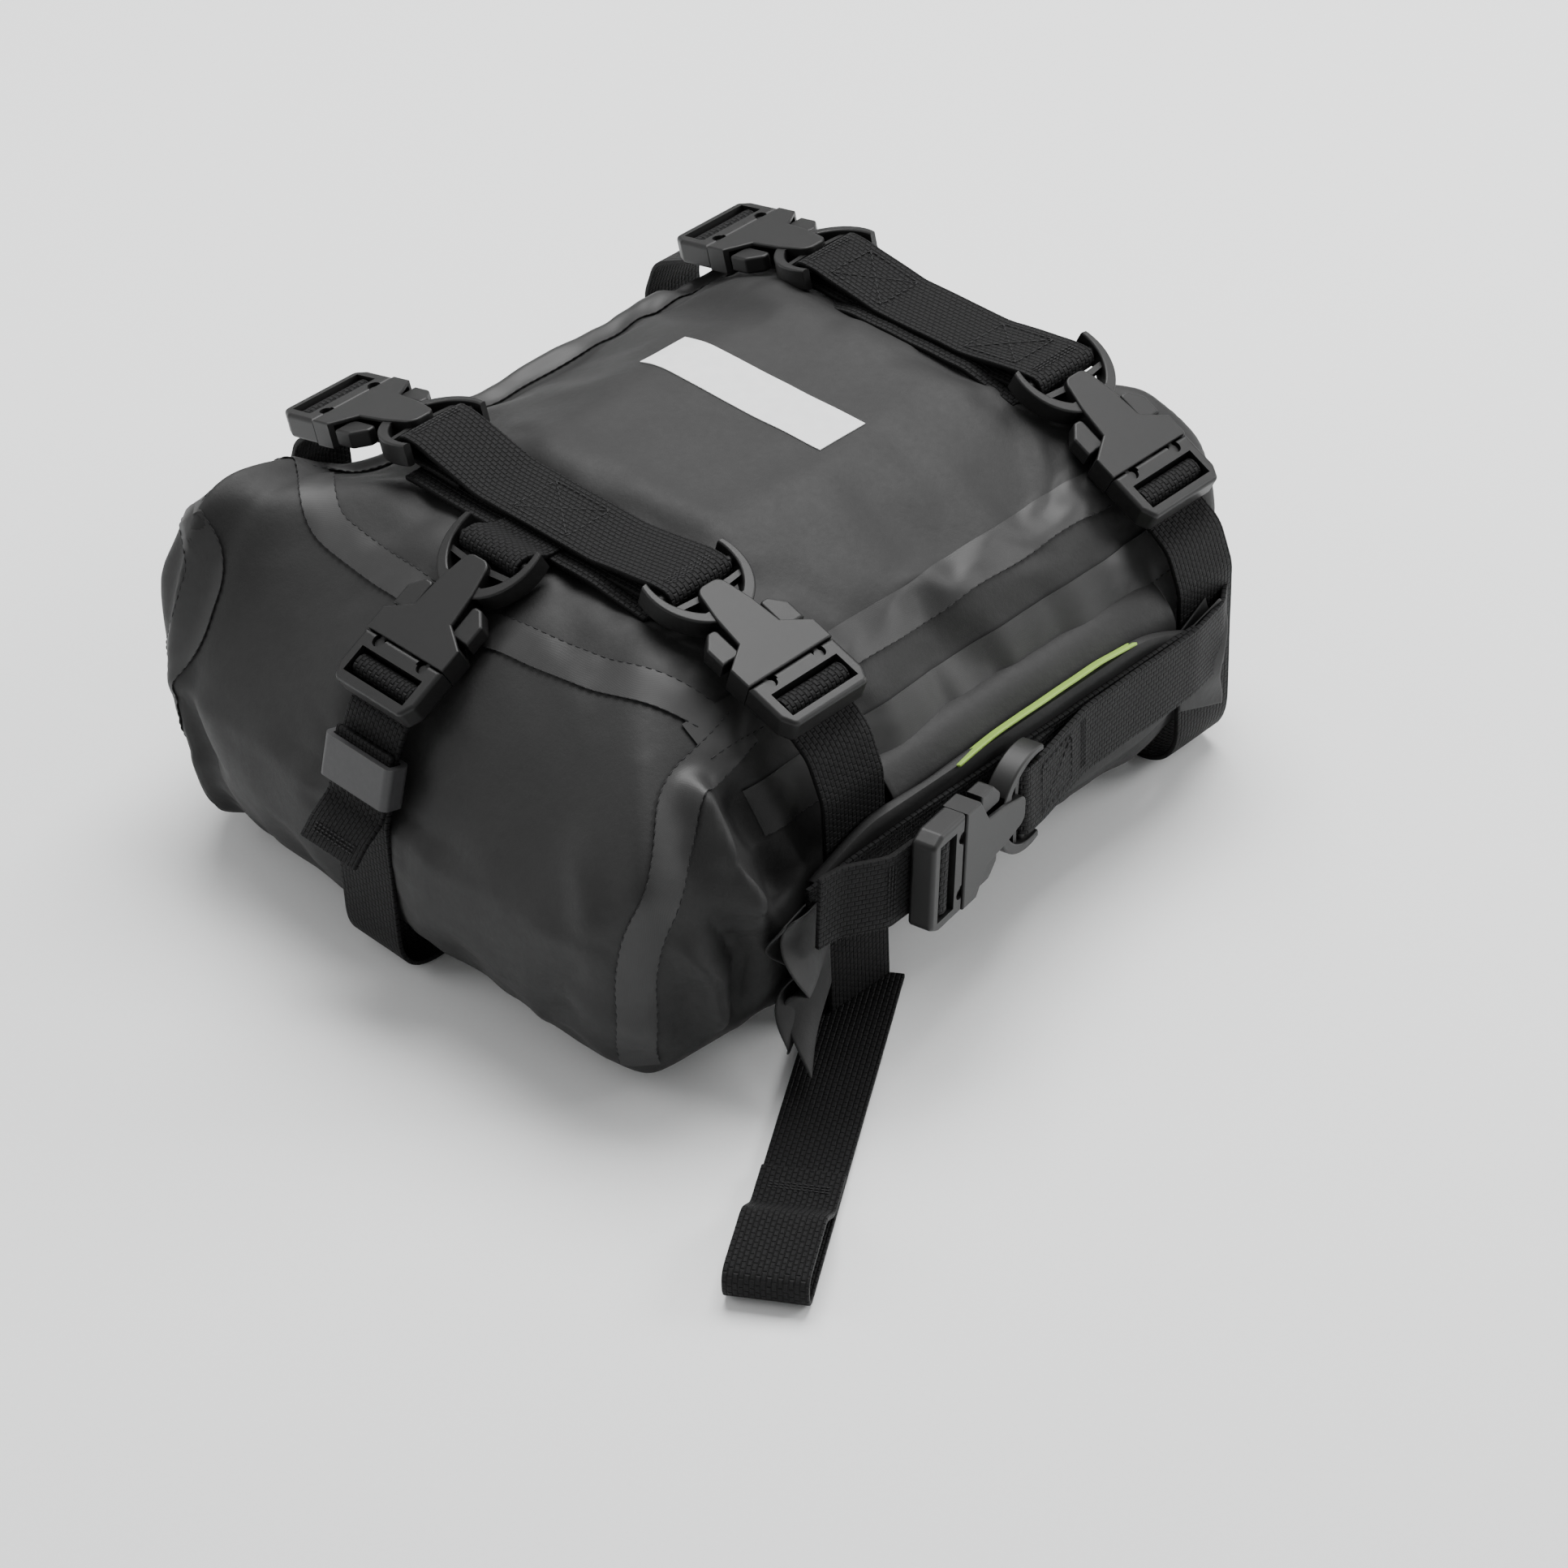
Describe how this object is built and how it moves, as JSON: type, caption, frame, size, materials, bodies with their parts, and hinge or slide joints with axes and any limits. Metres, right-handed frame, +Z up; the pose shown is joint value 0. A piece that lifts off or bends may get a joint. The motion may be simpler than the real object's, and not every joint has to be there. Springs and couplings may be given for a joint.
{
  "type": "tail bag",
  "caption": "Roll-closure motorcycle tail bag with a webbing harness, side-release buckles, mount straps and a reflective strip.",
  "frame": {"origin": "middle of the base patch's lower face, where the bag rests on the seat", "axes": "+Z up, -Y towards the rider (the centre strap's side), +X the side that rolls shut"},
  "size_m": [0.3242, 0.3085, 0.1318],
  "materials": {
    "tarpaulin": "matte coated tarpaulin, dark grey",
    "seam_tape": "welded seam tape, smooth dark grey",
    "base_rubber": "ribbed non-slip base",
    "stiffener": "black polyethylene sheet",
    "reflective": "plain white reflective film",
    "lining": "lime green inner lining",
    "webbing": "black ribbed polyester webbing",
    "buckle": "moulded acetal, satin dark grey",
    "keeper": "moulded rubber, mid grey"
  },
  "bodies": {
    "bag": {"base_board": "stiffener", "base_patch": "base_rubber", "centre_link": "webbing", "closure_band": "webbing", "closure_ears": "tarpaulin", "closure_neck": "tarpaulin", "closure_roll": "tarpaulin", "closure_socket": "buckle", "closure_webbing_rear": "webbing", "end_panel": "tarpaulin", "end_seam_tape": "seam_tape", "front_centre_mount_strap": "webbing", "front_centre_socket": "buckle", "front_left_mount_strap": "webbing", "front_left_socket": "buckle", "front_left_tether": "webbing", "front_right_mount_strap": "webbing", "front_right_socket": "buckle", "front_seam_tape": "seam_tape", "front_strap_lower": "webbing", "front_strap_upper": "webbing", "lining_lip": "lining", "main_panel": "tarpaulin", "mouth_panel_lower": "tarpaulin", "mouth_panel_upper": "tarpaulin", "mouth_tapes": "seam_tape", "rear_left_mount_strap": "webbing", "rear_left_socket": "buckle", "rear_right_mount_strap": "webbing", "rear_right_socket": "buckle", "rear_strap_lower": "webbing", "rear_strap_upper": "webbing", "reflective_strip": "reflective", "roll_stiffener": "stiffener"},
    "front_left_male_half": {"front_left_male": "buckle", "front_left_webbing": "webbing"},
    "front_left_prong_a_body": {"front_left_prong_a": "buckle"},
    "front_left_prong_b_body": {"front_left_prong_b": "buckle"},
    "front_right_male_half": {"front_right_male": "buckle", "front_right_webbing": "webbing"},
    "front_right_prong_a_body": {"front_right_prong_a": "buckle"},
    "front_right_prong_b_body": {"front_right_prong_b": "buckle"},
    "rear_left_male_half": {"rear_left_male": "buckle", "rear_left_webbing": "webbing"},
    "rear_left_prong_a_body": {"rear_left_prong_a": "buckle"},
    "rear_left_prong_b_body": {"rear_left_prong_b": "buckle"},
    "rear_right_male_half": {"rear_right_male": "buckle", "rear_right_webbing": "webbing"},
    "rear_right_prong_a_body": {"rear_right_prong_a": "buckle"},
    "rear_right_prong_b_body": {"rear_right_prong_b": "buckle"},
    "front_centre_male_half": {"front_centre_male": "buckle", "front_centre_webbing": "webbing"},
    "front_centre_prong_a_body": {"front_centre_prong_a": "buckle"},
    "front_centre_prong_b_body": {"front_centre_prong_b": "buckle"},
    "closure_male_half": {"closure_male": "buckle", "closure_webbing": "webbing"},
    "closure_prong_a_body": {"closure_prong_a": "buckle"},
    "closure_prong_b_body": {"closure_prong_b": "buckle"},
    "strap_keeper_body": {"strap_keeper": "keeper"}
  },
  "joints": [
    {"name": "front_left_release", "type": "slide", "parent": "bag", "child": "front_left_male_half", "axis": [0.9472, 0, -0.3206], "range_m": [0, 0.024], "deforming": ["front_left_prong_a", "front_left_prong_b"]},
    {"name": "front_left_prong_a_squeeze", "type": "hinge", "parent": "front_left_male_half", "child": "front_left_prong_a_body", "pos_m": [0.09759, -0.0411, 0.11066], "axis": [0.3206, 0, 0.9472], "range_deg": [0, 7.5], "stiffness_Nm_per_rad": 0.6},
    {"name": "front_left_prong_b_squeeze", "type": "hinge", "parent": "front_left_male_half", "child": "front_left_prong_b_body", "pos_m": [0.09759, -0.0609, 0.11066], "axis": [-0.3206, 0, -0.9472], "range_deg": [0, 7.5], "stiffness_Nm_per_rad": 0.6},
    {"name": "front_right_release", "type": "slide", "parent": "bag", "child": "front_right_male_half", "axis": [-0.9703, 0, -0.2419], "range_m": [0, 0.024], "deforming": ["front_right_prong_a", "front_right_prong_b"]},
    {"name": "front_right_prong_a_squeeze", "type": "hinge", "parent": "front_right_male_half", "child": "front_right_prong_a_body", "pos_m": [-0.09877, -0.0609, 0.11648], "axis": [-0.2419, 0, 0.9703], "range_deg": [0, 7.5], "stiffness_Nm_per_rad": 0.6},
    {"name": "front_right_prong_b_squeeze", "type": "hinge", "parent": "front_right_male_half", "child": "front_right_prong_b_body", "pos_m": [-0.09877, -0.0411, 0.11648], "axis": [0.2419, 0, -0.9703], "range_deg": [0, 7.5], "stiffness_Nm_per_rad": 0.6},
    {"name": "rear_left_release", "type": "slide", "parent": "bag", "child": "rear_left_male_half", "axis": [0.891, 0, -0.454], "range_m": [0, 0.024], "deforming": ["rear_left_prong_a", "rear_left_prong_b"]},
    {"name": "rear_left_prong_a_squeeze", "type": "hinge", "parent": "rear_left_male_half", "child": "rear_left_prong_a_body", "pos_m": [0.09676, 0.1169, 0.10293], "axis": [0.454, 0, 0.891], "range_deg": [0, 7.5], "stiffness_Nm_per_rad": 0.6},
    {"name": "rear_left_prong_b_squeeze", "type": "hinge", "parent": "rear_left_male_half", "child": "rear_left_prong_b_body", "pos_m": [0.09676, 0.0971, 0.10293], "axis": [-0.454, 0, -0.891], "range_deg": [0, 7.5], "stiffness_Nm_per_rad": 0.6},
    {"name": "rear_right_release", "type": "slide", "parent": "bag", "child": "rear_right_male_half", "axis": [-0.9781, 0, -0.2079], "range_m": [0, 0.024], "deforming": ["rear_right_prong_a", "rear_right_prong_b"]},
    {"name": "rear_right_prong_a_squeeze", "type": "hinge", "parent": "rear_right_male_half", "child": "rear_right_prong_a_body", "pos_m": [-0.0842, 0.0971, 0.11399], "axis": [-0.2079, 0, 0.9781], "range_deg": [0, 7.5], "stiffness_Nm_per_rad": 0.6},
    {"name": "rear_right_prong_b_squeeze", "type": "hinge", "parent": "rear_right_male_half", "child": "rear_right_prong_b_body", "pos_m": [-0.0842, 0.1169, 0.11399], "axis": [0.2079, 0, -0.9781], "range_deg": [0, 7.5], "stiffness_Nm_per_rad": 0.6},
    {"name": "front_centre_release", "type": "slide", "parent": "bag", "child": "front_centre_male_half", "axis": [0, -0.891, -0.454], "range_m": [0, 0.024], "deforming": ["front_centre_prong_a", "front_centre_prong_b"]},
    {"name": "front_centre_prong_a_squeeze", "type": "hinge", "parent": "front_centre_male_half", "child": "front_centre_prong_a_body", "pos_m": [0.0095, -0.11576, 0.10233], "axis": [0, -0.454, 0.891], "range_deg": [0, 7.5], "stiffness_Nm_per_rad": 0.6},
    {"name": "front_centre_prong_b_squeeze", "type": "hinge", "parent": "front_centre_male_half", "child": "front_centre_prong_b_body", "pos_m": [-0.0103, -0.11576, 0.10233], "axis": [0, 0.454, -0.891], "range_deg": [0, 7.5], "stiffness_Nm_per_rad": 0.6},
    {"name": "closure_release", "type": "slide", "parent": "bag", "child": "closure_male_half", "axis": [0.2169, -0.9702, 0.108], "range_m": [0, 0.024], "deforming": ["closure_prong_a", "closure_prong_b"]},
    {"name": "closure_prong_a_squeeze", "type": "hinge", "parent": "closure_male_half", "child": "closure_prong_a_body", "pos_m": [0.14438, -0.03668, 0.04741], "axis": [0.9759, 0.2181, 0], "range_deg": [0, 7.5], "stiffness_Nm_per_rad": 0.6},
    {"name": "closure_prong_b_squeeze", "type": "hinge", "parent": "closure_male_half", "child": "closure_prong_b_body", "pos_m": [0.14391, -0.03459, 0.06709], "axis": [-0.9759, -0.2181, 0], "range_deg": [0, 7.5], "stiffness_Nm_per_rad": 0.6},
    {"name": "keeper_slide", "type": "slide", "parent": "front_centre_male_half", "child": "strap_keeper_body", "axis": [0, -0.2882, -0.9576], "range_m": [-0.002, 0.003]}
  ],
  "couplings": [
    {"joint": "front_left_prong_b_squeeze", "follows": "front_left_prong_a_squeeze", "ratio": 1},
    {"joint": "front_right_prong_b_squeeze", "follows": "front_right_prong_a_squeeze", "ratio": 1},
    {"joint": "rear_left_prong_b_squeeze", "follows": "rear_left_prong_a_squeeze", "ratio": 1},
    {"joint": "rear_right_prong_b_squeeze", "follows": "rear_right_prong_a_squeeze", "ratio": 1},
    {"joint": "front_centre_prong_b_squeeze", "follows": "front_centre_prong_a_squeeze", "ratio": 1},
    {"joint": "closure_prong_b_squeeze", "follows": "closure_prong_a_squeeze", "ratio": 1}
  ]
}
